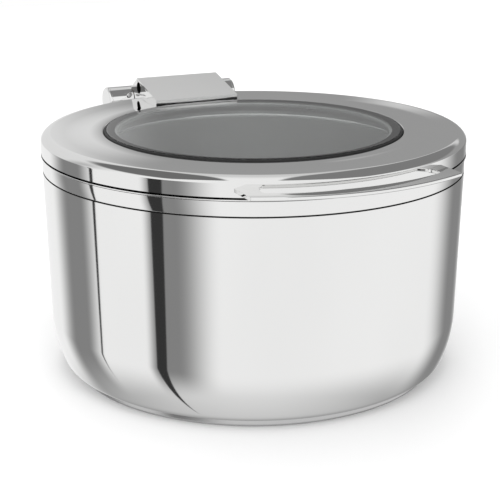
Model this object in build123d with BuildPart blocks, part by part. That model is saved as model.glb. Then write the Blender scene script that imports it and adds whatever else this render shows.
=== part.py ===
from build123d import *
from math import cos, radians, sin, sqrt
import os

# Induction soup kettle with a glass-window lid on a braked hinge.
# Origin at the centre of the base's underside, +Z up, hinge at +Y, handle at -Y.
# All sizes are millimetres.

# Sheet metal
sheet = 1.2
thin_sheet = 1.0
gap = 0.5

# Base capsule and water vessel
base_radius = 175.9
base_height = 7.5
base_edge_radius = 3.0
vessel_top_z = 195.2
vessel_top_radius = 199.15
wall_taper = radians(1.43)
bowl_radius = 119.0
bowl_centre_z = 59.4
foot_radius = 10.0

# Frame ring
band_radius = 199.0
band_bottom_z = 196.4
groove_radius = 198.4
groove_bottom_z = 209.2
lip_radius = 200.4
lip_bottom_z = 209.8
lip_top_z = 211.0
lip_rounding = 0.5
ledge_z = 214.2
ledge_inner_radius = 149.5
ledge_flange = 10.0
shoulder_radius = 192.5
shoulder_foot_radius = 194.2
tongue_radius = 197.4
tongue_bottom_z = 188.0

# Lid bumpers on the ledge
bumper_offset = 128.0
bumper_radius = 5.0
bumper_rounding = 1.5
bumper_stem_radius = 3.0
bumper_foot_radius = 3.8
bumper_foot_height = 1.5
bumper_clearance = 0.3

# Soup insert
insert_radius = 141.0
insert_floor_z = 31.0
insert_corner_radius = 30.0
insert_lip_radius = 7.0
insert_flange_radius = 166.0
insert_top_z = ledge_z + 0.1 + thin_sheet

# Lid
lid_radius = 200.0
skirt_bottom_z = 212.65
crease_z = 224.0
crease_radius = 3.2
crease_turn = 30.0
rim_radius = 192.0
rim_z = 230.4
ring_z = 229.3
dish_radius = 166.0
dish_z = 228.9
dish_bend = 120.0
window_radius = 141.0
lip_roll = 2.0
lip_skirt = 1.0
liner_z = 224.8
seat_radius = 128.0
drip_edge_z = 221.4
liner_edge_z = 220.8
liner_slope = (4.0, 3.5)

# Glass and gasket
glass_radius = 138.8
glass_thickness = 5.0
glass_bottom_z = liner_z + 1.0
glass_top_z = glass_bottom_z + glass_thickness
glass_edge = 0.6
gasket_inner_radius = 131.0
gasket_outer_radius = 140.9
gasket_edge_z = 229.9
gasket_crest = (139.4, 230.6)

# Handle
handle_half_width = 98.5
handle_outer_radius = 228.5
handle_inner_radius = 214.0
handle_leg = 16.0
handle_top_z = 220.5
handle_thickness = 3.3
handle_edge = 0.6
slot_front_rounding = 3.0
slot_rear_rounding = 4.5

# Hinge
hinge_y = 217.0
hinge_z = 223.5
knuckle_radius = 15.0
knuckle_bore = 11.0
leaf_half_width = 45.5
leaf_front_y = 138.0
leaf_top_z = 233.0
leaf_relief_y = 195.5
leaf_relief_z = 221.6
window_clearance = 0.5
cheek_inner_x = 46.0
cheek_outer_x = 69.5
cap_thickness = 3.0
axle_radius = 5.0
running_clearance = 0.05
cover_front_z = 235.6
cover_apex = (194.0, 250.3)
cover_back_y = 212.0
cover_clearance = 0.6
tunnel_radius = 6.0
tunnel_centre = (189.0, 240.6)
tunnel_depth = 30.0
bush_length = 4.0
damper_length = 38.0
spring_wire = 1.4
spring_radius = 8.0
spring_pitch = 6.8
spring_start_x = 2.0
spring_length = 34.0
bracket_front_y = 180.0
bracket_back_y = 228.0
bracket_bulge = 4.0
bracket_bottom_z = 198.4
bracket_bulge_z = 206.4
bracket_step = (204.0, 209.6)
web_top_z = 207.3
screw_recess = 18.0
pocket_depth = 10.5
axle_half_length = 67.0
axle_chamfer = 0.8
disc_radius = 9.0
disc_length = 1.5
nut_radius = 9.2
nut_length = 4.0
cap_spigot = 1.8
cap_chamfer = 1.2
plate_bottom_z = 199.4
plate_height = 10.0
plate_thickness = 3.0

# Screws: radius of shank, radius of head, length of head
bracket_screw = (2.5, 4.25, 5.0)
bracket_socket = (2.3, 2.5)
bracket_screw_reach = 4.0
cover_screw = (2.5, 4.5, 2.4)
cover_screw_grip = 4.0
lock_screw_radius = 2.0
lock_screw_head = 2.6
lock_socket = (1.15, 1.8)
bracket_screw_places = (-57.0, -24.0, 24.0, 57.0)
bracket_screw_z = 203.0
cover_screw_places = ((-32.0, 156.0), (32.0, 156.0), (-8.0, 182.0), (8.0, 182.0))
cover_seat_z = ring_z - 1.8
lock_screw_x = 50.0
lock_screw_angle = 150.0

# Deeper than any sheet, and than the round wall is curved behind the hinge
through_sheet = 3.0
wall_reach = 40.0


def save(part, name):
    """Label a finished part and write its STEP file."""
    part.label = name
    export_step(part, f"parts/{name}.step")


def at_bumpers():
    """Places of the four lid bumpers."""
    return GridLocations(2 * bumper_offset, 2 * bumper_offset, 2, 2)


def at_bracket_screws():
    """Places of the four bracket screws on an upright plane."""
    return Locations([(x, bracket_screw_z) for x in bracket_screw_places])


def vessel_outline(inset, top_z):
    """Draw the vessel's closed half outline, moved inward by inset."""
    normal = Vector(cos(wall_taper), -sin(wall_taper))
    drop = (band_bottom_z - bowl_centre_z) * sin(wall_taper)
    bowl = Vector(vessel_top_radius - (bowl_radius + drop) / cos(wall_taper), bowl_centre_z)
    foot_z = base_height + foot_radius
    reach = bowl_radius - foot_radius
    foot = Vector(bowl.X + sqrt(reach**2 - (bowl.Y - foot_z) ** 2), foot_z)
    joint = (foot - bowl).normalized()
    down = Vector(0, -1)
    bowl_inset = bowl_radius - inset
    foot_inset = foot_radius - inset
    wall_start = bowl + normal * bowl_inset
    rise = top_z - wall_start.Y
    wall_end = wall_start + Vector(rise * sin(wall_taper) / cos(wall_taper), rise)
    foot_start = foot + down * foot_inset
    joint_point = bowl + joint * bowl_inset
    Line((0, foot_start.Y), foot_start)
    ThreePointArc(foot_start, foot + (down + joint).normalized() * foot_inset, joint_point)
    ThreePointArc(joint_point, bowl + (joint + normal).normalized() * bowl_inset, wall_start)
    Polyline(wall_start, wall_end, (0, top_z), (0, foot_start.Y))


def lid_outline(close_to_axis):
    """Draw the lid's outer surface from the skirt to the window, as a line in the XZ plane."""
    rim_end = (rim_radius, rim_z)
    lip_start = (window_radius + lip_roll, ring_z)
    Line((lid_radius, skirt_bottom_z), (lid_radius, crease_z))
    crease = JernArc((lid_radius, crease_z), (0, 1), crease_radius, crease_turn)
    TangentArc(crease @ 1, rim_end, tangent=crease % 1)
    FilletPolyline(rim_end, (dish_radius, dish_z), lip_start, radius=dish_bend)
    if close_to_axis:
        Polyline(lip_start, (0, ring_z), (0, skirt_bottom_z), (lid_radius, skirt_bottom_z))
    else:
        lip_end = (window_radius, ring_z - lip_roll)
        RadiusArc(lip_start, lip_end, -lip_roll)
        Line(lip_end, (window_radius, ring_z - lip_roll - lip_skirt))


# Water vessel and base ------------------------------------------------------------------

os.makedirs("parts", exist_ok=True)

with BuildPart() as outer_body:
    with BuildSketch(Plane.XZ):
        with BuildLine():
            vessel_outline(0, vessel_top_z)
        make_face()
    revolve(axis=Axis.Z)
    with BuildSketch(Plane.XZ):
        with BuildLine():
            vessel_outline(sheet, vessel_top_z + sheet)
        make_face()
    revolve(axis=Axis.Z, mode=Mode.SUBTRACT)
save(outer_body.part, "outer_body")

with BuildPart() as base_cap:
    with BuildSketch(Plane.XZ):
        with BuildLine():
            Line((0, 0), (base_radius - base_edge_radius, 0))
            JernArc((base_radius - base_edge_radius, 0), (1, 0), base_edge_radius, 90)
            Line((base_radius, base_edge_radius), (base_radius, base_height))
            offset(amount=sheet, side=Side.LEFT)
        make_face()
    revolve(axis=Axis.Z)
save(base_cap.part, "base_cap")

with BuildPart() as heat_spreader:
    with BuildSketch(Plane.XY.offset(sheet)):
        Circle(base_radius - sheet)
    extrude(amount=base_height - sheet)
    chamfer(heat_spreader.edges().sort_by(Axis.Z)[0], base_edge_radius - sheet)
save(heat_spreader.part, "heat_spreader")

# Frame ring -----------------------------------------------------------------------------

with BuildPart() as frame_ring:
    with BuildSketch(Plane.XZ):
        with BuildLine():
            Polyline(
                (tongue_radius - sheet, tongue_bottom_z),
                (tongue_radius, tongue_bottom_z),
                (tongue_radius, band_bottom_z),
                (band_radius, band_bottom_z),
                (band_radius, groove_bottom_z),
                (groove_radius, groove_bottom_z),
                (groove_radius, lip_bottom_z),
                (lip_radius, lip_bottom_z),
                (lip_radius, lip_top_z),
                (shoulder_foot_radius, lip_top_z),
                (shoulder_radius, ledge_z),
                (ledge_inner_radius, ledge_z),
                (ledge_inner_radius, ledge_z - ledge_flange),
                (ledge_inner_radius + sheet, ledge_z - ledge_flange),
                (ledge_inner_radius + sheet, ledge_z - sheet),
                (shoulder_radius - sheet / 2, ledge_z - sheet),
                (shoulder_foot_radius - sheet / 2, lip_top_z - sheet),
                (band_radius - sheet, lip_top_z - sheet),
                (band_radius - sheet, band_bottom_z + sheet),
                (tongue_radius - sheet, band_bottom_z + sheet),
                close=True,
            )
        make_face()
    revolve(axis=Axis.Z)
    lip_edges = frame_ring.edges().filter_by(GeomType.CIRCLE).group_by(SortBy.RADIUS)[-1]
    fillet(lip_edges, lip_rounding)
    with BuildSketch(Plane.XY.offset(ledge_z)):
        with at_bumpers():
            Circle(bumper_stem_radius)
    extrude(amount=-through_sheet, mode=Mode.SUBTRACT)
    with BuildSketch(Plane.XZ.offset(-lid_radius)):
        with at_bracket_screws():
            Circle(bracket_screw[0] + running_clearance)
    extrude(amount=wall_reach, mode=Mode.SUBTRACT)
save(frame_ring.part, "frame_ring")

with BuildPart() as lid_bumpers:
    with BuildSketch(Plane.XY.offset(ledge_z)):
        with at_bumpers():
            Circle(bumper_radius)
    extrude(amount=liner_z - thin_sheet - bumper_clearance - ledge_z)
    fillet(lid_bumpers.edges().group_by(Axis.Z)[-1], bumper_rounding)
    with BuildSketch(Plane.XY.offset(ledge_z)):
        with at_bumpers():
            Circle(bumper_stem_radius)
    extrude(amount=-sheet)
    with BuildSketch(Plane.XY.offset(ledge_z - sheet)):
        with at_bumpers():
            Circle(bumper_foot_radius)
    extrude(amount=-bumper_foot_height)
save(lid_bumpers.part, "lid_bumpers")

# Soup insert ----------------------------------------------------------------------------

with BuildPart() as soup_insert:
    with BuildSketch(Plane.XZ):
        with BuildLine():
            corner_start = (insert_radius - insert_corner_radius, insert_floor_z)
            lip_start = (insert_radius, insert_top_z - insert_lip_radius)
            Line((0, insert_floor_z), corner_start)
            JernArc(corner_start, (1, 0), insert_corner_radius, 90)
            Line((insert_radius, insert_floor_z + insert_corner_radius), lip_start)
            JernArc(lip_start, (0, 1), insert_lip_radius, -90)
            lip_end = (insert_radius + insert_lip_radius, insert_top_z)
            Line(lip_end, (insert_flange_radius, insert_top_z))
            offset(amount=thin_sheet, side=Side.RIGHT)
        make_face()
    revolve(axis=Axis.Z)
save(soup_insert.part, "soup_insert")

# Lid ------------------------------------------------------------------------------------

with BuildPart() as lid_cover:
    with BuildSketch(Plane.XZ):
        with BuildLine():
            lid_outline(False)
            offset(amount=sheet, side=Side.LEFT)
        make_face()
    revolve(axis=Axis.Z)
    with BuildSketch(Plane.XY.offset(rim_z)):
        with Locations(cover_screw_places):
            Circle(cover_screw[0] + running_clearance)
    extrude(amount=-through_sheet, mode=Mode.SUBTRACT)
save(lid_cover.part, "lid_cover")

with BuildPart() as lid_liner:
    with BuildSketch(Plane.XZ):
        with BuildLine():
            weld_radius = lid_radius - sheet
            Polyline(
                (seat_radius, drip_edge_z),
                (seat_radius, liner_z),
                (weld_radius - liner_slope[0], liner_z),
                (weld_radius, liner_z - liner_slope[1]),
                (weld_radius, liner_edge_z),
            )
            offset(amount=thin_sheet, side=Side.RIGHT)
        make_face()
    revolve(axis=Axis.Z)
save(lid_liner.part, "lid_liner")

with BuildPart() as glass_window:
    with BuildSketch(Plane.XY.offset(glass_bottom_z)):
        Circle(glass_radius)
    extrude(amount=glass_thickness)
    chamfer(glass_window.edges(), glass_edge)
save(glass_window.part, "glass_window")

with BuildPart() as glass_gasket:
    with BuildSketch(Plane.XZ):
        with BuildLine():
            Polyline(
                (gasket_inner_radius, liner_z),
                (gasket_outer_radius, liner_z),
                (gasket_outer_radius, gasket_edge_z),
                gasket_crest,
                (glass_radius, glass_top_z - glass_edge),
                (glass_radius, glass_bottom_z),
                (gasket_inner_radius, glass_bottom_z),
                close=True,
            )
        make_face()
    revolve(axis=Axis.Z)
save(glass_gasket.part, "glass_gasket")

slot_x = handle_half_width - handle_leg
slot_back = lid_radius - 1.0
slot_front_y = -sqrt(handle_inner_radius**2 - slot_x**2)
slot_back_y = -sqrt(slot_back**2 - slot_x**2)
with BuildSketch() as handle_slot:
    with BuildLine():
        ThreePointArc((-slot_x, slot_front_y), (0, -handle_inner_radius), (slot_x, slot_front_y))
        Line((slot_x, slot_front_y), (slot_x, slot_back_y))
        ThreePointArc((slot_x, slot_back_y), (0, -slot_back), (-slot_x, slot_back_y))
        Line((-slot_x, slot_back_y), (-slot_x, slot_front_y))
    make_face()
    fillet(handle_slot.vertices().sort_by(Axis.Y)[:2], slot_front_rounding)
    fillet(handle_slot.vertices().sort_by(Axis.Y)[-2:], slot_rear_rounding)

with BuildPart() as lid_handle:
    with BuildSketch(Plane.XY.offset(handle_top_z)):
        Circle(handle_outer_radius)
        with Locations((0, -handle_outer_radius)):
            Rectangle(2 * handle_half_width, handle_outer_radius, mode=Mode.INTERSECT)
        add(handle_slot.sketch, mode=Mode.SUBTRACT)
        Circle(lid_radius, mode=Mode.SUBTRACT)
    extrude(amount=-handle_thickness)
    arcs = lid_handle.edges().filter_by(GeomType.CIRCLE)
    chamfer(arcs.filter_by(lambda edge: edge.radius > lid_radius + sheet), handle_edge)
save(lid_handle.part, "lid_handle")

# Hinge, moving half ---------------------------------------------------------------------

with BuildPart() as hinge_plate:
    with BuildSketch(Plane.YZ):
        with BuildLine():
            Polyline(
                (leaf_front_y, leaf_top_z),
                (hinge_y, leaf_top_z),
                (hinge_y, leaf_relief_z),
                (leaf_relief_y, leaf_relief_z),
                (leaf_relief_y, skirt_bottom_z),
                (leaf_front_y, skirt_bottom_z),
                close=True,
            )
        make_face()
        with Locations((hinge_y, hinge_z)):
            Circle(knuckle_radius)
    extrude(amount=leaf_half_width, both=True)
    with BuildSketch(Plane.XZ):
        with BuildLine():
            lid_outline(True)
        make_face()
    revolve(axis=Axis.Z, mode=Mode.SUBTRACT)
    with BuildSketch(Plane.XY.offset(skirt_bottom_z)):
        Circle(window_radius + window_clearance)
    extrude(amount=glass_top_z + window_clearance - skirt_bottom_z, mode=Mode.SUBTRACT)
    with BuildSketch(Plane.YZ):
        with Locations((hinge_y, hinge_z)):
            Circle(knuckle_bore)
    extrude(amount=leaf_half_width, both=True, mode=Mode.SUBTRACT)
    with BuildSketch(Plane.XY.offset(leaf_top_z)):
        with Locations(cover_screw_places):
            Circle(cover_screw[0] + running_clearance)
    extrude(amount=cover_seat_z - leaf_top_z, mode=Mode.SUBTRACT)
save(hinge_plate.part, "hinge_plate")

with BuildPart() as hinge_cover:
    with BuildSketch(Plane.YZ):
        with BuildLine():
            Polyline(
                (leaf_front_y + 2 * gap, leaf_top_z),
                (leaf_front_y + 2 * gap, leaf_top_z + gap),
                (leaf_front_y, leaf_top_z + gap),
                (leaf_front_y, cover_front_z),
                cover_apex,
                (cover_back_y, hinge_z + knuckle_radius),
                (hinge_y, hinge_z + knuckle_radius),
                (hinge_y, leaf_top_z),
                close=True,
            )
        make_face()
        with Locations((hinge_y, hinge_z)):
            Circle(knuckle_radius + cover_clearance, mode=Mode.SUBTRACT)
    extrude(amount=leaf_half_width, both=True)
    for side_plane in (Plane.YZ.offset(leaf_half_width), Plane.YZ.offset(-leaf_half_width)):
        with BuildSketch(side_plane):
            with Locations(tunnel_centre):
                Circle(tunnel_radius)
        depth = tunnel_depth if side_plane.origin.X < 0 else -tunnel_depth
        extrude(amount=depth, mode=Mode.SUBTRACT)
    with BuildSketch(Plane.XY.offset(leaf_top_z)):
        with Locations(cover_screw_places):
            Circle(cover_screw[0] + running_clearance)
    extrude(amount=cover_screw_grip, mode=Mode.SUBTRACT)
save(hinge_cover.part, "hinge_cover")

with BuildPart() as cover_screws:
    with BuildSketch(Plane.XY.offset(cover_seat_z)):
        with Locations(cover_screw_places):
            Circle(cover_screw[0])
    extrude(amount=leaf_top_z + cover_screw_grip - cover_seat_z)
    with BuildSketch(Plane.XY.offset(cover_seat_z)):
        with Locations(cover_screw_places):
            Circle(cover_screw[1])
    extrude(amount=-cover_screw[2])
save(cover_screws.part, "cover_screws")

with BuildPart() as hinge_bushes:
    for start in (-leaf_half_width, leaf_half_width - bush_length):
        with BuildSketch(Plane.YZ.offset(start)):
            with Locations((hinge_y, hinge_z)):
                Circle(knuckle_bore)
                Circle(axle_radius + running_clearance, mode=Mode.SUBTRACT)
        extrude(amount=bush_length)
save(hinge_bushes.part, "hinge_bushes")

with BuildPart() as damper_cartridge:
    with BuildSketch(Plane.YZ.offset(-leaf_half_width + bush_length + gap)):
        with Locations((hinge_y, hinge_z)):
            Circle(knuckle_bore)
            Circle(axle_radius + running_clearance, mode=Mode.SUBTRACT)
    extrude(amount=damper_length)
save(damper_cartridge.part, "damper_cartridge")

with BuildPart() as torsion_spring:
    with BuildLine() as coil:
        Helix(
            pitch=spring_pitch,
            height=spring_length,
            radius=spring_radius,
            center=(spring_start_x, hinge_y, hinge_z),
            direction=(1, 0, 0),
        )
    with BuildSketch(Plane(coil.line @ 0, z_dir=coil.line % 0)):
        Circle(spring_wire)
    sweep(is_frenet=True)
save(torsion_spring.part, "torsion_spring")

# Hinge, fixed half ----------------------------------------------------------------------

hinge_centre = Vector(0, hinge_y, hinge_z)
screw_axis = Vector(0, cos(radians(lock_screw_angle)), sin(radians(lock_screw_angle)))
bulge_y = bracket_back_y + bracket_bulge
pocket_x = cheek_outer_x - pocket_depth
with BuildPart() as hinge_bracket:
    for start in (-cheek_outer_x, cheek_inner_x):
        with BuildSketch(Plane.YZ.offset(start)):
            with BuildLine():
                Polyline(
                    (bracket_front_y, bracket_bottom_z),
                    (bracket_back_y, bracket_bottom_z),
                    (bulge_y, bracket_bulge_z),
                    (hinge_y + knuckle_radius, hinge_z),
                    (hinge_y - knuckle_radius, hinge_z),
                    bracket_step,
                    (bracket_front_y, bracket_step[1]),
                    close=True,
                )
            make_face()
            with Locations((hinge_y, hinge_z)):
                Circle(knuckle_radius)
        extrude(amount=cheek_outer_x - cheek_inner_x)
    with BuildSketch(Plane.YZ):
        with BuildLine():
            Polyline(
                (bracket_front_y, bracket_bottom_z),
                (bracket_back_y, bracket_bottom_z),
                (bracket_back_y, web_top_z),
                (bracket_front_y, web_top_z),
                close=True,
            )
        make_face()
    extrude(amount=cheek_inner_x, both=True)
    with BuildSketch(Plane.XY.offset(bracket_bottom_z)):
        Circle(band_radius)
    extrude(amount=lip_top_z - bracket_bottom_z, mode=Mode.SUBTRACT)
    with BuildSketch(Plane.YZ):
        with Locations((hinge_y, hinge_z)):
            Circle(axle_radius)
    extrude(amount=cheek_outer_x, both=True, mode=Mode.SUBTRACT)
    for start, depth in ((-cheek_outer_x, pocket_depth), (cheek_outer_x, -pocket_depth)):
        with BuildSketch(Plane.YZ.offset(start)):
            with Locations((hinge_y, hinge_z)):
                Circle(knuckle_bore)
        extrude(amount=depth, mode=Mode.SUBTRACT)
    with BuildSketch(Plane.XZ.offset(-bulge_y)):
        with at_bracket_screws():
            Circle(bracket_screw[1] + gap / 2)
    extrude(amount=screw_recess, mode=Mode.SUBTRACT)
    with BuildSketch(Plane.XZ.offset(-bracket_back_y)):
        with at_bracket_screws():
            Circle(bracket_screw[0] + running_clearance)
    extrude(amount=bracket_back_y - bracket_front_y, mode=Mode.SUBTRACT)
    for x in (-lock_screw_x, lock_screw_x):
        with BuildSketch(Plane(hinge_centre + Vector(x, 0, 0), x_dir=(1, 0, 0), z_dir=screw_axis)):
            Circle(lock_screw_radius + running_clearance)
        extrude(amount=knuckle_radius + sheet, mode=Mode.SUBTRACT)
save(hinge_bracket.part, "hinge_bracket")

tip_distance = axle_radius + running_clearance
top_distance = knuckle_radius + lock_screw_head
with BuildPart() as lock_screws:
    for x in (-lock_screw_x, lock_screw_x):
        tip = hinge_centre + Vector(x, 0, 0) + screw_axis * tip_distance
        with BuildSketch(Plane(tip, x_dir=(1, 0, 0), z_dir=screw_axis)):
            Circle(lock_screw_radius)
        extrude(amount=top_distance - tip_distance)
        top = hinge_centre + Vector(x, 0, 0) + screw_axis * top_distance
        with BuildSketch(Plane(top, x_dir=(1, 0, 0), z_dir=screw_axis)):
            RegularPolygon(lock_socket[0], 6)
        extrude(amount=-lock_socket[1], mode=Mode.SUBTRACT)
save(lock_screws.part, "lock_screws")

with BuildPart() as hinge_axle:
    with BuildSketch(Plane.YZ):
        with Locations((hinge_y, hinge_z)):
            Circle(axle_radius)
    extrude(amount=axle_half_length, both=True)
    chamfer(hinge_axle.edges(), axle_chamfer)
save(hinge_axle.part, "hinge_axle")

with BuildPart() as disc_springs:
    for start in (-pocket_x - disc_length, pocket_x):
        with BuildSketch(Plane.YZ.offset(start)):
            with Locations((hinge_y, hinge_z)):
                Circle(disc_radius)
                Circle(axle_radius + running_clearance, mode=Mode.SUBTRACT)
        extrude(amount=disc_length)
save(disc_springs.part, "disc_springs")

nut_start_x = pocket_x + disc_length
with BuildPart() as axle_nuts:
    for start in (-nut_start_x - nut_length, nut_start_x):
        with BuildSketch(Plane.YZ.offset(start)):
            with Locations((hinge_y, hinge_z)):
                RegularPolygon(nut_radius, 6)
                Circle(axle_radius + running_clearance, mode=Mode.SUBTRACT)
        extrude(amount=nut_length)
save(axle_nuts.part, "axle_nuts")

with BuildPart() as end_caps:
    for start, outward in ((-cheek_outer_x, -1), (cheek_outer_x, 1)):
        with BuildSketch(Plane.YZ.offset(start)):
            with Locations((hinge_y, hinge_z)):
                Circle(knuckle_radius)
        extrude(amount=outward * cap_thickness)
        with BuildSketch(Plane.YZ.offset(start)):
            with Locations((hinge_y, hinge_z)):
                Circle(knuckle_bore - running_clearance)
        extrude(amount=-outward * cap_spigot)
    outer_edges = end_caps.edges().group_by(Axis.X)
    chamfer(outer_edges[0] + outer_edges[-1], cap_chamfer)
save(end_caps.part, "end_caps")

plate_outer_radius = band_radius - sheet
with BuildPart() as backing_plate:
    with BuildSketch(Plane.XY.offset(plate_bottom_z)):
        Circle(plate_outer_radius)
        Circle(plate_outer_radius - plate_thickness, mode=Mode.SUBTRACT)
        with Locations((0, plate_outer_radius)):
            Rectangle(2 * cheek_outer_x, wall_reach, mode=Mode.INTERSECT)
    extrude(amount=plate_height)
    with BuildSketch(Plane.XZ.offset(-lid_radius)):
        with at_bracket_screws():
            Circle(bracket_screw[0] + running_clearance)
    extrude(amount=wall_reach, mode=Mode.SUBTRACT)
save(backing_plate.part, "backing_plate")

screw_seat_y = bulge_y - screw_recess
with BuildPart() as bracket_screws:
    for x in bracket_screw_places:
        plate_y = sqrt(plate_outer_radius**2 - x**2)
        with BuildSketch(Plane.XZ.offset(-screw_seat_y)):
            with Locations((x, bracket_screw_z)):
                Circle(bracket_screw[0])
        extrude(amount=screw_seat_y - plate_y + bracket_screw_reach)
        with BuildSketch(Plane.XZ.offset(-screw_seat_y)):
            with Locations((x, bracket_screw_z)):
                Circle(bracket_screw[1])
        extrude(amount=-bracket_screw[2])
        with BuildSketch(Plane.XZ.offset(-screw_seat_y - bracket_screw[2])):
            with Locations((x, bracket_screw_z)):
                RegularPolygon(bracket_socket[0], 6)
        extrude(amount=bracket_socket[1], mode=Mode.SUBTRACT)
save(bracket_screws.part, "bracket_screws")
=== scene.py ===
import math

import bmesh
import bpy
from mathutils import Matrix, Vector


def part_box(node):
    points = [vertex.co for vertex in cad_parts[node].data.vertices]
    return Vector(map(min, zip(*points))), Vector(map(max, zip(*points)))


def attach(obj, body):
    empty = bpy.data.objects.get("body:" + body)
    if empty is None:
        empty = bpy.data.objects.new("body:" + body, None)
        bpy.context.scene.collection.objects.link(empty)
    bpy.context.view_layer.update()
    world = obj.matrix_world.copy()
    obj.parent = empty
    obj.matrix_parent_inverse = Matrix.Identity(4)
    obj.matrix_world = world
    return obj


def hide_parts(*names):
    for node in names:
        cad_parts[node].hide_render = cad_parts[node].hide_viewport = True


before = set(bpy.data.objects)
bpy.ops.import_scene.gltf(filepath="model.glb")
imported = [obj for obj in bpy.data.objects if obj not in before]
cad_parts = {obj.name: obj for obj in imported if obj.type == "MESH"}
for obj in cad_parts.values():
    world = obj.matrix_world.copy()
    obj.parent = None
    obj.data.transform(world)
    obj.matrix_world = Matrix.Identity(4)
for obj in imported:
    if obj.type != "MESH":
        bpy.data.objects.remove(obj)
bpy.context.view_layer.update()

# Soup kettle: polished steel vessel, frame ring, insert, and a hinged lid with a round window.
# Everything is in metres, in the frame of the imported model. MM turns millimetres into metres.

MM = 0.001
SEGMENTS = 360
CAMERA_AZIMUTH = -25.0
CAMERA_ELEVATION = 16.92
CAMERA_DISTANCE = 1.292
CAMERA_TARGET_Z = 0.108
CAMERA_LENS = 95.4
CAMERA_SHIFT = -0.0069


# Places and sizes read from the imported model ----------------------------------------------


def radius_of(node):
    """Largest radius of a round node about the kettle's axis."""
    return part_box(node)[1].x


def bottom_of(node):
    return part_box(node)[0].z


def top_of(node):
    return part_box(node)[1].z


# Outlines ---------------------------------------------------------------------------------


def arc(centre, radius, start, end, steps):
    """Points of an arc in the (radius, height) plane, with angles in degrees from outward."""
    points = []
    for step in range(steps + 1):
        angle = math.radians(start + (end - start) * step / steps)
        points.append((centre[0] + radius * math.cos(angle), centre[1] + radius * math.sin(angle)))
    return points


def rounded(corners, steps=6):
    """A closed outline from (across, up, bend) corners, each rounded to its bend radius."""
    points = []
    count = len(corners)
    for index, (x, y, bend) in enumerate(corners):
        here = Vector((x, y))
        before = Vector(corners[index - 1][:2]) - here
        after = Vector(corners[(index + 1) % count][:2]) - here
        half = before.angle(after) / 2
        if bend <= 0 or half > math.radians(89.5):
            points.append((x, y))
            continue
        reach = min(bend / math.tan(half), 0.49 * before.length, 0.49 * after.length)
        bend = reach * math.tan(half)
        start = here + before.normalized() * reach
        middle = here + (before.normalized() + after.normalized()).normalized() * bend / math.sin(half)
        turn = math.pi - 2 * half
        side = 1 if before.cross(after) < 0 else -1
        arm = start - middle
        for step in range(steps + 1):
            spun = Matrix.Rotation(side * turn * step / steps, 2) @ arm
            points.append(tuple(middle + spun))
    return points


# Mesh building ----------------------------------------------------------------------------


def finish_mesh(mesh, sharp_angle=32.0):
    """Merge doubled points, close the normals and shade smooth except at sharp edges."""
    work = bmesh.new()
    work.from_mesh(mesh)
    bmesh.ops.remove_doubles(work, verts=work.verts, dist=1e-6)
    bmesh.ops.recalc_face_normals(work, faces=work.faces)
    work.to_mesh(mesh)
    work.free()
    mesh.shade_smooth()
    mesh.set_sharp_from_angle(angle=math.radians(sharp_angle))


def add_piece(name, mesh, body, replaced=()):
    """Link a mesh as a piece that rides on a body."""
    piece = bpy.data.objects.new(name, mesh)
    bpy.context.scene.collection.objects.link(piece)
    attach(piece, body)
    if replaced:
        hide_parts(*replaced)
    return piece


def lathe(name, outline, body, replaced=(), segments=SEGMENTS):
    """Turn a closed outline of (radius, height) points round the kettle's axis."""
    mesh = bpy.data.meshes.new(name)
    count = len(outline)
    verts = []
    for segment in range(segments):
        angle = 2 * math.pi * segment / segments
        cosine, sine = math.cos(angle), math.sin(angle)
        verts.extend((radius * cosine, radius * sine, height) for radius, height in outline)
    faces = []
    for segment in range(segments):
        here = segment * count
        there = (segment + 1) % segments * count
        for index in range(count):
            after = (index + 1) % count
            if outline[index][0] < 1e-9 and outline[after][0] < 1e-9:
                continue
            faces.append((here + index, there + index, there + after, here + after))
    mesh.from_pydata(verts, [], faces)
    finish_mesh(mesh)
    return add_piece(name, mesh, body, replaced)


def repaint(piece, material, ranges):
    """Give the faces whose middles lie in (radius, height) boxes a second material."""
    piece.data.materials.append(material)
    for face in piece.data.polygons:
        radius, height = face.center.xy.length, face.center.z
        for low, high in ranges:
            if low[0] <= radius <= high[0] and low[1] <= height <= high[1]:
                face.material_index = 1


def softened(name, node, body, bevel, sharp_angle=32.0):
    """A copy of a CAD node with its flat faces joined up and its edges rounded."""
    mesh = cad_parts[node].data.copy()
    mesh.name = name
    work = bmesh.new()
    work.from_mesh(mesh)
    bmesh.ops.remove_doubles(work, verts=work.verts, dist=1e-6)
    flat = math.radians(0.5)
    bmesh.ops.dissolve_limit(work, angle_limit=flat, verts=work.verts, edges=work.edges)
    work.to_mesh(mesh)
    work.free()
    mesh.materials.clear()
    piece = add_piece(name, mesh, body, (node,))
    rounding = piece.modifiers.new("rounded_edges", "BEVEL")
    rounding.width = bevel
    rounding.segments = 3
    rounding.limit_method = "ANGLE"
    rounding.angle_limit = math.radians(sharp_angle)
    rounding.harden_normals = True
    mesh.shade_smooth()
    mesh.set_sharp_from_angle(angle=math.radians(sharp_angle))
    return piece


# Materials --------------------------------------------------------------------------------


def new_material(name):
    material = bpy.data.materials.new(name)
    material.use_nodes = True
    nodes = material.node_tree.nodes
    shader = nodes["Principled BSDF"]
    return material, nodes, material.node_tree.links, shader


def stretched_noise(nodes, links, stretch, scale, detail=4.0):
    """Noise in the piece's own coordinates, stretched along its axes."""
    where = nodes.new("ShaderNodeTexCoord")
    mapping = nodes.new("ShaderNodeMapping")
    mapping.inputs["Scale"].default_value = stretch
    noise = nodes.new("ShaderNodeTexNoise")
    noise.inputs["Scale"].default_value = scale
    noise.inputs["Detail"].default_value = detail
    links.new(where.outputs["Object"], mapping.inputs["Vector"])
    links.new(mapping.outputs["Vector"], noise.inputs["Vector"])
    return noise


def spread(nodes, links, source, low, high):
    """Map a 0 to 1 value to low to high."""
    node = nodes.new("ShaderNodeMapRange")
    node.inputs["To Min"].default_value = low
    node.inputs["To Max"].default_value = high
    links.new(source, node.inputs["Value"])
    return node.outputs["Result"]


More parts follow.
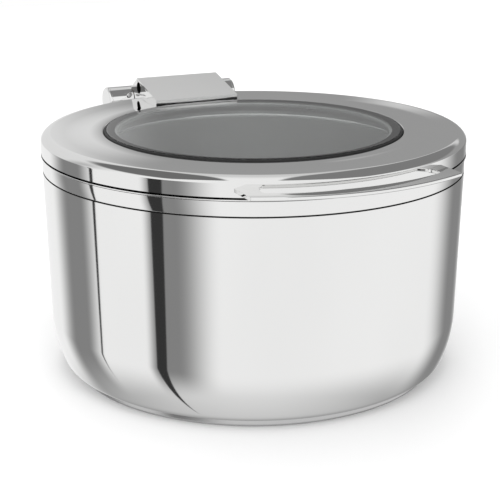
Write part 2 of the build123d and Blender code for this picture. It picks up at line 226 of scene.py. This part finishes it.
def tint(nodes, links, source, dark, light):
    """Blend two colours by a 0 to 1 value."""
    ramp = nodes.new("ShaderNodeValToRGB")
    ramp.color_ramp.elements[0].position = 0.3
    ramp.color_ramp.elements[0].color = (*dark, 1)
    ramp.color_ramp.elements[1].position = 0.7
    ramp.color_ramp.elements[1].color = (*light, 1)
    links.new(source, ramp.inputs["Fac"])
    return ramp.outputs["Color"]


def bumped(nodes, links, shader, source, distance, strength):
    bump = nodes.new("ShaderNodeBump")
    bump.inputs["Distance"].default_value = distance
    bump.inputs["Strength"].default_value = strength
    links.new(source, bump.inputs["Height"])
    links.new(bump.outputs["Normal"], shader.inputs["Normal"])


def steel(name, light, rough, grain, grain_scale=900.0, bump=0.02):
    """Stainless steel: rough is the lowest and highest roughness, grain the polish direction."""
    material, nodes, links, shader = new_material(name)
    shader.inputs["Metallic"].default_value = 1.0
    clouds = stretched_noise(nodes, links, (1.0, 1.0, 0.35), 9.0, 2.0)
    dark = tuple(channel * 0.965 for channel in light)
    links.new(tint(nodes, links, clouds.outputs["Fac"], dark, light), shader.inputs["Base Color"])
    scratches = stretched_noise(nodes, links, grain, grain_scale, 3.0)
    links.new(spread(nodes, links, scratches.outputs["Fac"], *rough), shader.inputs["Roughness"])
    bumped(nodes, links, shader, scratches.outputs["Fac"], 0.02 * MM, bump)
    return material


def silicone(name):
    material, nodes, links, shader = new_material(name)
    grain = stretched_noise(nodes, links, (1, 1, 1), 1500.0, 3.0)
    colour = tint(nodes, links, grain.outputs["Fac"], (0.008, 0.008, 0.008), (0.02, 0.02, 0.02))
    links.new(colour, shader.inputs["Base Color"])
    links.new(spread(nodes, links, grain.outputs["Fac"], 0.45, 0.65), shader.inputs["Roughness"])
    bumped(nodes, links, shader, grain.outputs["Fac"], 0.03 * MM, 0.3)
    return material


def window_glass(name):
    material, nodes, links, shader = new_material(name)
    shader.inputs["Transmission Weight"].default_value = 1.0
    shader.inputs["IOR"].default_value = 1.5
    haze = stretched_noise(nodes, links, (1, 1, 1), 14.0, 2.0)
    colour = tint(nodes, links, haze.outputs["Fac"], (0.90, 0.93, 0.92), (0.93, 0.95, 0.94))
    links.new(colour, shader.inputs["Base Color"])
    links.new(spread(nodes, links, haze.outputs["Fac"], 0.0, 0.012), shader.inputs["Roughness"])
    return material


def plain_metal(name, colour, rough):
    material, nodes, links, shader = new_material(name)
    shader.inputs["Metallic"].default_value = 1.0
    grain = stretched_noise(nodes, links, (1, 1, 1), 400.0, 4.0)
    dark = tuple(channel * 0.85 for channel in colour)
    links.new(tint(nodes, links, grain.outputs["Fac"], dark, colour), shader.inputs["Base Color"])
    links.new(spread(nodes, links, grain.outputs["Fac"], *rough), shader.inputs["Roughness"])
    return material


MIRROR = steel("mirror_steel", (0.90, 0.90, 0.895), (0.025, 0.055), (1, 1, 0.02))
LID_MIRROR = steel("mirror_steel_lid", (0.88, 0.88, 0.875), (0.03, 0.06), (1, 1, 1), bump=0.01)
SATIN = steel("satin_steel", (0.62, 0.62, 0.62), (0.22, 0.36), (1, 1, 0.1), bump=0.1)
# Painted shade: a near-black steel that stands in for the shade deep in recesses and gaps.
PAINTED_SHADE = steel("painted_recess_shade", (0.03, 0.03, 0.03), (0.4, 0.6), (1, 1, 1))
INSERT = steel("insert_steel", (0.88, 0.88, 0.88), (0.06, 0.10), (1, 1, 0.03), bump=0.02)
GROUND = steel("ground_insert_wall", (0.92, 0.92, 0.92), (0.30, 0.40), (1, 1, 0.03), bump=0.03)
CAPSULE = steel("capsule_steel", (0.60, 0.60, 0.60), (0.22, 0.28), (1, 1, 1), bump=0.03)
SILICONE = silicone("black_silicone")
GLASS = window_glass("window_glass")
ALUMINIUM = plain_metal("cast_aluminium", (0.80, 0.80, 0.81), (0.35, 0.5))
BRONZE = plain_metal("sintered_bronze", (0.55, 0.38, 0.18), (0.3, 0.45))
SPRING = plain_metal("oiled_spring_steel", (0.30, 0.30, 0.31), (0.25, 0.4))


def damper_plastic(name):
    material, nodes, links, shader = new_material(name)
    grain = stretched_noise(nodes, links, (1, 1, 1), 900.0, 3.0)
    colour = tint(nodes, links, grain.outputs["Fac"], (0.03, 0.03, 0.03), (0.06, 0.06, 0.06))
    links.new(colour, shader.inputs["Base Color"])
    links.new(spread(nodes, links, grain.outputs["Fac"], 0.4, 0.55), shader.inputs["Roughness"])
    bumped(nodes, links, shader, grain.outputs["Fac"], 0.05 * MM, 0.3)
    return material


DAMPER = damper_plastic("damper_plastic")


def paint(piece, material):
    """Give a piece, or a CAD node by name, one material."""
    if isinstance(piece, str):
        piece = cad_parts[piece]
    piece.data.materials.clear()
    piece.data.materials.append(material)


# Vessel, base and frame -------------------------------------------------------------------

SHEET = 1.2 * MM
WALL_TAPER = 1.43
BOWL_RADIUS = 119.0 * MM
BOWL_CENTRE_Z = 59.4 * MM
FOOT_RADIUS = 10.0 * MM


def vessel_side(inset):
    """Outer side of the vessel from the axis to the top edge, moved inward by inset."""
    taper = math.radians(WALL_TAPER)
    top_radius, top_z, base_z = radius_of("outer_body"), top_of("outer_body"), bottom_of("outer_body")
    drop = (top_z - BOWL_CENTRE_Z) * math.sin(taper)
    bowl = (top_radius - (BOWL_RADIUS + drop) / math.cos(taper), BOWL_CENTRE_Z)
    foot_z = base_z + FOOT_RADIUS
    reach = BOWL_RADIUS - FOOT_RADIUS
    foot_lean = math.degrees(math.asin((BOWL_CENTRE_Z - foot_z) / reach))
    foot_r = bowl[0] + reach * math.cos(math.radians(foot_lean))
    foot = arc((foot_r, foot_z), FOOT_RADIUS - inset, -90, -foot_lean, 10)
    side = arc(bowl, BOWL_RADIUS - inset, -foot_lean, -WALL_TAPER, 24)
    top = (top_radius - inset / math.cos(taper), top_z)
    return [(0.0, base_z + inset)] + foot + side[1:] + [top]


def make_vessel():
    outline = vessel_side(0) + vessel_side(SHEET)[::-1]
    piece = lathe("vessel_shell", outline, "kettle", ("outer_body",))
    paint(piece, MIRROR)


def make_base():
    radius, top = radius_of("base_cap"), top_of("base_cap")
    edge = 3.0 * MM
    corners = [
        (0, 0, 0),
        (radius, 0, edge),
        (radius, top, 0),
        (radius - SHEET, top, 0),
        (radius - SHEET, SHEET, edge - SHEET),
        (0, SHEET, 0),
    ]
    piece = lathe("base_capsule", rounded(corners), "kettle", ("base_cap",))
    paint(piece, CAPSULE)


def make_frame_ring():
    """Band, lip, shoulder and ledge, in one rolled section."""
    lip, ledge = radius_of("frame_ring"), top_of("frame_ring")
    tongue_z = bottom_of("frame_ring")
    band = lip - 1.4 * MM
    groove = lip - 2.0 * MM
    tongue = band - 1.6 * MM
    band_z = top_of("outer_body") + 1.2 * MM
    lip_top = ledge - 3.2 * MM
    lip_bottom = lip_top - 1.2 * MM
    foot = lip - 6.2 * MM
    shoulder = lip - 7.9 * MM
    inner = radius_of("soup_insert") - 16.5 * MM
    small, soft = 0.35 * MM, 1.2 * MM
    corners = [
        (tongue - SHEET, tongue_z, 0),
        (tongue, tongue_z, 0),
        (tongue, band_z, 0),
        (band, band_z, small),
        (band, lip_bottom - 0.6 * MM, 0.15 * MM),
        (groove, lip_bottom - 0.6 * MM, 0),
        (groove, lip_bottom, 0),
        (lip, lip_bottom, small),
        (lip, lip_top, small),
        (foot, lip_top, 0.5 * MM),
        (shoulder, ledge, soft),
        (inner, ledge, soft),
        (inner, ledge - 10 * MM, 0),
        (inner + SHEET, ledge - 10 * MM, 0),
        (inner + SHEET, ledge - SHEET, 0),
        (shoulder - 0.6 * MM, ledge - SHEET, 0),
        (foot - 0.6 * MM, lip_top - SHEET, 0),
        (band - SHEET, lip_top - SHEET, 0),
        (band - SHEET, band_z + SHEET, 0),
        (tongue - SHEET, band_z + SHEET, 0),
    ]
    piece = lathe("frame_band", rounded(corners), "kettle", ("frame_ring",))
    paint(piece, MIRROR)
    # Painted shade: the seam under the band, the groove under the lip and the shoulder under the lid
    # skirt get the near-black painted-shade material.
    seam = ((tongue - SHEET, tongue_z), (band - 0.2 * MM, band_z + 0.1 * MM))
    rolled_in = ((groove - 0.1 * MM, lip_bottom - 0.7 * MM), (lip - 0.5 * MM, lip_bottom + 0.05 * MM))
    under_lid = ((shoulder - 0.5 * MM, lip_top - 0.1 * MM), (lip - 1.5 * MM, ledge - 0.3 * MM))
    repaint(piece, PAINTED_SHADE, (seam, rolled_in, under_lid))


def make_insert():
    outer = radius_of("soup_insert")
    top, floor = top_of("soup_insert"), bottom_of("soup_insert")
    thin = 1.0 * MM
    wall = outer - 25.0 * MM
    corner, lip = 30.0 * MM, 7.0 * MM
    corners = [
        (0, floor, 0),
        (wall + thin, floor, corner + thin),
        (wall + thin, top - thin, lip - thin),
        (outer, top - thin, 0.4 * MM),
        (outer, top, 0.4 * MM),
        (wall, top, lip),
        (wall, floor + thin, corner),
        (0, floor + thin, 0),
    ]
    piece = lathe("soup_pot", rounded(corners, 16), "insert", ("soup_insert",))
    paint(piece, INSERT)
    repaint(piece, GROUND, [((0, floor), (wall + thin, top - lip))])


# Lid --------------------------------------------------------------------------------------

LID_R = radius_of("lid_cover")
SKIRT_Z = bottom_of("lid_cover")
WINDOW_R = 141.0 * MM


def lid_surface(inset):
    """Lid cover from the skirt's lower edge to the window lip, moved inward by inset."""
    crease_z, rim_z, ring_z = 224.0 * MM, 230.4 * MM, 229.3 * MM
    skirt = [(LID_R - inset, SKIRT_Z)]
    crease = arc((LID_R - 3.2 * MM, crease_z), 3.2 * MM - inset, 0, 30, 8)
    shoulder = arc((LID_R - 8.804 * MM, rim_z - 9.64 * MM), 9.67 * MM - inset, 30, 85.2, 12)
    dish_corners = ((190.5, 230.31), (178.0, 229.45), (166.0, 228.9), (155.0, 229.05))
    dish = [(radius * MM, height * MM - inset) for radius, height in dish_corners]
    lip = arc((WINDOW_R + 2 * MM, ring_z - 2 * MM), 2 * MM - inset, 90, 180, 6)
    return skirt + crease + shoulder[1:] + dish + lip + [(WINDOW_R + inset, ring_z - 3 * MM)]


def make_lid_cover():
    outline = lid_surface(0) + lid_surface(SHEET)[::-1]
    piece = lathe("lid_shell", outline, "lid", ("lid_cover",))
    paint(piece, LID_MIRROR)


def make_liner():
    outer, top = radius_of("lid_liner"), top_of("lid_liner")
    low = bottom_of("lid_liner")
    seat, thin = 128.0 * MM, 1.0 * MM
    drip_z = top - 3.4 * MM
    corners = [
        (seat, drip_z, 0),
        (seat, top, 1.2 * MM),
        (outer - 4 * MM, top, 2 * MM),
        (outer, top - 3.5 * MM, 1 * MM),
        (outer, low, 0),
        (outer - thin, low, 0),
        (outer - thin, top - 3.9 * MM, 0),
        (outer - 4.4 * MM, top - thin, 0),
        (seat + thin, top - thin, 0),
        (seat + thin, drip_z, 0),
    ]
    piece = lathe("lid_inner_ring", rounded(corners), "lid", ("lid_liner",))
    paint(piece, SATIN)


def make_window():
    radius, top, low = radius_of("glass_window"), top_of("glass_window"), bottom_of("glass_window")
    edge = 0.6 * MM
    flat = radius - 2 * edge
    corners = [
        (0, low, 0),
        (flat, low, 0),
        (radius, low, edge),
        (radius, top, edge),
        (flat, top, 0),
        (0, top, 0),
    ]
    glass = lathe("lid_glass", rounded(corners), "lid", ("glass_window",))
    paint(glass, GLASS)
    outer, base = radius_of("glass_gasket"), bottom_of("glass_gasket")
    crest = top_of("glass_gasket")
    inner = radius - 7.8 * MM
    corners = [
        (inner, base, 0),
        (outer, base, 0),
        (outer, crest - 0.7 * MM, 0.4 * MM),
        (radius + 0.6 * MM, crest, 0.3 * MM),
        (radius, top - edge, 0),
        (radius, low, 0),
        (inner, low, 0),
    ]
    seal = lathe("lid_gasket", rounded(corners), "lid", ("glass_gasket",))
    paint(seal, SILICONE)


# Handle, hinge and small parts ------------------------------------------------------------


TUNNEL_Y, TUNNEL_Z, TUNNEL_RADIUS = 189.0 * MM, 240.6 * MM, 6.0 * MM


def paint_tunnel_shade(piece):
    """Paint near-black shade on the walls and floor of the round hole in the hinge cover."""
    piece.data.materials.append(PAINTED_SHADE)
    for face in piece.data.polygons:
        from_axis = math.hypot(face.center.y - TUNNEL_Y, face.center.z - TUNNEL_Z)
        if from_axis < TUNNEL_RADIUS + 0.1 * MM and abs(face.center.x) < 45.0 * MM:
            face.material_index = 1


def make_small_parts():
    rounded_parts = {
        "lid_handle": ("handle_bar", "lid", 0.5 * MM, "polished_steel", MIRROR),
        "hinge_cover": ("hinge_block", "lid", 0.45 * MM, "polished_steel", MIRROR),
        "hinge_plate": ("hinge_leaf", "lid", 0.4 * MM, "polished_steel", MIRROR),
        "hinge_bracket": ("hinge_base", "kettle", 0.4 * MM, "polished_steel", MIRROR),
        "end_caps": ("barrel_caps", "kettle", 0.3 * MM, "polished_steel", MIRROR),
        "bracket_screws": ("rear_screws", "kettle", 0.2 * MM, "satin_steel", SATIN),
        "lock_screws": ("barrel_screws", "kettle", 0.15 * MM, "satin_steel", SATIN),
    }
    for node, (name, body, bevel, slot, material) in rounded_parts.items():
        piece = softened(name, node, body, bevel)
        paint(piece, material)
        if node == "hinge_cover":
            paint_tunnel_shade(piece)
    hidden_parts = {
        "heat_spreader": ALUMINIUM,
        "lid_bumpers": SILICONE,
        "backing_plate": SATIN,
        "hinge_axle": SATIN,
        "axle_nuts": SATIN,
        "disc_springs": SPRING,
        "cover_screws": SATIN,
        "hinge_bushes": BRONZE,
        "damper_cartridge": DAMPER,
        "torsion_spring": SPRING,
    }
    for node, material in hidden_parts.items():
        paint(node, material)


make_vessel()
make_base()
make_frame_ring()
make_insert()
make_lid_cover()
make_liner()
make_window()
make_small_parts()


# Studio -----------------------------------------------------------------------------------


def linear(shade):
    """Scene light for a display shade from 0 to 1."""
    return ((shade + 0.055) / 1.055) ** 2.4 if shade > 0.04 else shade / 12.92


def maths(nodes, links, operation, *inputs):
    node = nodes.new("ShaderNodeMath")
    node.operation = operation
    for socket, value in zip(node.inputs, inputs):
        if isinstance(value, (int, float)):
            socket.default_value = value
        else:
            links.new(value, socket)
    return node.outputs[0]


def blend_colours(nodes, links, amount, first, second):
    node = nodes.new("ShaderNodeMix")
    node.data_type = "RGBA"
    links.new(amount, node.inputs["Factor"])
    for socket, value in ((node.inputs["A"], first), (node.inputs["B"], second)):
        if isinstance(value, tuple):
            socket.default_value = value
        else:
            links.new(value, socket)
    return node.outputs["Result"]


def fade(nodes, links, source, start, end):
    """0 before start, 1 after end, smooth between."""
    node = nodes.new("ShaderNodeMapRange")
    node.interpolation_type = "SMOOTHSTEP"
    node.inputs["From Min"].default_value = start
    node.inputs["From Max"].default_value = end
    links.new(source, node.inputs["Value"])
    return node.outputs["Result"]


# A plain studio: pale walls, a floor that is lighter towards the camera, and a few plain cards.
# Shades are display shades from 0 to 1. Angles are in degrees, right of the camera and up.
WALL_SHADE = 0.92
REAR_SHADE = 0.58
OVERHEAD_SHADE = 0.80
FLOOR_SHADE = 0.70
FLOOR_SLOPE = -0.2
# Grey flags that stand round the kettle: where each starts, is full, stays full to, and ends.
GREY_FLAGS = [(-140, -118, -106, -90), (-62, -54, -42, -16), (110, 140, 150, 180)]
FLAG_SHADE = 0.50
# Two dark stands in front of the left wall: degrees right, half width, lowest point.
DARK_STANDS = [(-52, 5, -65), (-94, 2, -35)]
STAND_SHADE = 0.20
# The floor and other dull surfaces get more light than the steel mirrors.
STUDIO_STRENGTH = 1.12
STRENGTH_ON_FLOOR = 3.5
# Cards over the kettle: shade, then the fades across, away from the camera and up.
OVERHEAD_CARDS = [
    (0.85, (-0.06, -0.14), (0.2, 0.5), (0.7, 0.6)),
    (0.80, (0.05, 0.09), (0.8, 0.9), (0.23, 0.27)),
    (0.48, (0.15, 0.2), (-0.5, -0.45), (0.28, 0.36)),
    (0.42, (-0.15, -0.2), (-0.5, -0.45), (0.6, 0.7)),
]


def grey(shade):
    light = linear(shade)
    return (light, light, light, 1)


def grey_flag(nodes, links, around, ends):
    """1 on an upright flag that is soft at both sides."""
    start, full, full_to, end = ends
    rising = fade(nodes, links, around, start, full)
    falling = fade(nodes, links, around, end, full_to)
    return maths(nodes, links, "MULTIPLY", rising, falling)


def dark_stand(nodes, links, around, lifted, right, half_width, lowest):
    """1 on an upright stand that narrows to a point at its lowest end."""
    offset = maths(nodes, links, "SUBTRACT", around, right)
    offset = maths(nodes, links, "ABSOLUTE", offset)
    reach = maths(nodes, links, "MULTIPLY_ADD", lifted, half_width / -lowest, half_width)
    inside = maths(nodes, links, "SUBTRACT", reach, offset)
    return fade(nodes, links, inside, -0.5, 0.5)


def make_world():
    """Pale studio with plain cards: its shade depends on the direction only."""
    world = bpy.data.worlds.new("studio")
    world.use_nodes = True
    bpy.context.scene.world = world
    nodes, links = world.node_tree.nodes, world.node_tree.links
    where = nodes.new("ShaderNodeTexCoord")
    turn = nodes.new("ShaderNodeMapping")
    turn.inputs["Rotation"].default_value = (0, 0, -math.radians(CAMERA_AZIMUTH))
    links.new(where.outputs["Generated"], turn.inputs["Vector"])
    split = nodes.new("ShaderNodeSeparateXYZ")
    links.new(turn.outputs["Vector"], split.inputs["Vector"])
    across, away, up = split.outputs["X"], split.outputs["Y"], split.outputs["Z"]
    toward = maths(nodes, links, "MULTIPLY", away, -1.0)
    around = maths(nodes, links, "ARCTAN2", across, toward)
    around = maths(nodes, links, "DEGREES", around)
    lifted = maths(nodes, links, "ARCSINE", up)
    lifted = maths(nodes, links, "DEGREES", lifted)

    walls = grey(WALL_SHADE)
    for ends in GREY_FLAGS:
        flag = grey_flag(nodes, links, around, ends)
        walls = blend_colours(nodes, links, flag, walls, grey(FLAG_SHADE))
    sloped = maths(nodes, links, "MULTIPLY_ADD", away, FLOOR_SLOPE, FLOOR_SHADE)
    floor = maths(nodes, links, "POWER", sloped, 2.2)
    below = blend_colours(nodes, links, fade(nodes, links, lifted, -24, -50), walls, floor)
    for right, half_width, lowest in DARK_STANDS:
        stand = dark_stand(nodes, links, around, lifted, right, half_width, lowest)
        below = blend_colours(nodes, links, stand, below, grey(STAND_SHADE))

    overhead = fade(nodes, links, lifted, 25, 43)
    rear = blend_colours(nodes, links, overhead, grey(REAR_SHADE), grey(OVERHEAD_SHADE))
    behind = fade(nodes, links, away, -0.2, 0.5)
    upper = blend_colours(nodes, links, behind, grey(WALL_SHADE), rear)
    for shade, *fades in OVERHEAD_CARDS:
        card = 1.0
        for axis, ends in zip((across, away, up), fades):
            card = maths(nodes, links, "MULTIPLY", card, fade(nodes, links, axis, *ends))
        upper = blend_colours(nodes, links, card, upper, grey(shade))
    shade = blend_colours(nodes, links, fade(nodes, links, lifted, -5, 0), below, upper)

    background = nodes["Background"]
    links.new(shade, background.inputs["Color"])
    paths = nodes.new("ShaderNodeLightPath")
    strength = nodes.new("ShaderNodeMapRange")
    strength.inputs["To Min"].default_value = STUDIO_STRENGTH
    strength.inputs["To Max"].default_value = STRENGTH_ON_FLOOR
    links.new(paths.outputs["Is Diffuse Ray"], strength.inputs["Value"])
    links.new(strength.outputs["Result"], background.inputs["Strength"])
    backdrop = nodes.new("ShaderNodeBackground")
    backdrop.inputs["Color"].default_value = (1, 1, 1, 1)
    mixed = nodes.new("ShaderNodeMixShader")
    links.new(paths.outputs["Is Camera Ray"], mixed.inputs["Fac"])
    links.new(background.outputs["Background"], mixed.inputs[1])
    links.new(backdrop.outputs["Background"], mixed.inputs[2])
    links.new(mixed.outputs["Shader"], nodes["World Output"].inputs["Surface"])


def make_floor():
    """Plain pale floor. Upright steel mirrors the studio walls, so the floor stays out of mirrors."""
    size = 6.0
    mesh = bpy.data.meshes.new("floor")
    corner = size / 2
    verts = [(-corner, -corner, 0), (corner, -corner, 0), (corner, corner, 0), (-corner, corner, 0)]
    mesh.from_pydata(verts, [], [(0, 1, 2, 3)])
    floor = bpy.data.objects.new("floor", mesh)
    bpy.context.scene.collection.objects.link(floor)
    floor.location.z = bottom_of("base_cap") - 0.05 * MM
    material, _, _, shader = new_material("pale_floor")
    shader.inputs["Base Color"].default_value = (0.9, 0.9, 0.9, 1)
    shader.inputs["Roughness"].default_value = 0.9
    floor.data.materials.append(material)
    floor.visible_glossy = False


def make_camera():
    """Long lens from the front left, a little above the lid."""
    elevation = math.radians(CAMERA_ELEVATION)
    azimuth = math.radians(CAMERA_AZIMUTH)
    target = Vector((0, 0, CAMERA_TARGET_Z))
    level = math.cos(elevation)
    back = Vector((math.sin(azimuth) * level, -math.cos(azimuth) * level, math.sin(elevation)))
    data = bpy.data.cameras.new("camera")
    data.lens = CAMERA_LENS
    data.sensor_width = 36.0
    data.shift_x = CAMERA_SHIFT
    camera = bpy.data.objects.new("camera", data)
    bpy.context.scene.collection.objects.link(camera)
    camera.location = target + back * CAMERA_DISTANCE
    camera.rotation_mode = "QUATERNION"
    camera.rotation_quaternion = (-back).to_track_quat("-Z", "Y")
    bpy.context.scene.camera = camera


make_world()
make_floor()
make_camera()
bpy.context.scene.view_settings.view_transform = "Standard"
bpy.context.scene.cycles.max_bounces = 16
bpy.context.scene.cycles.glossy_bounces = 14
bpy.context.scene.cycles.transmission_bounces = 14
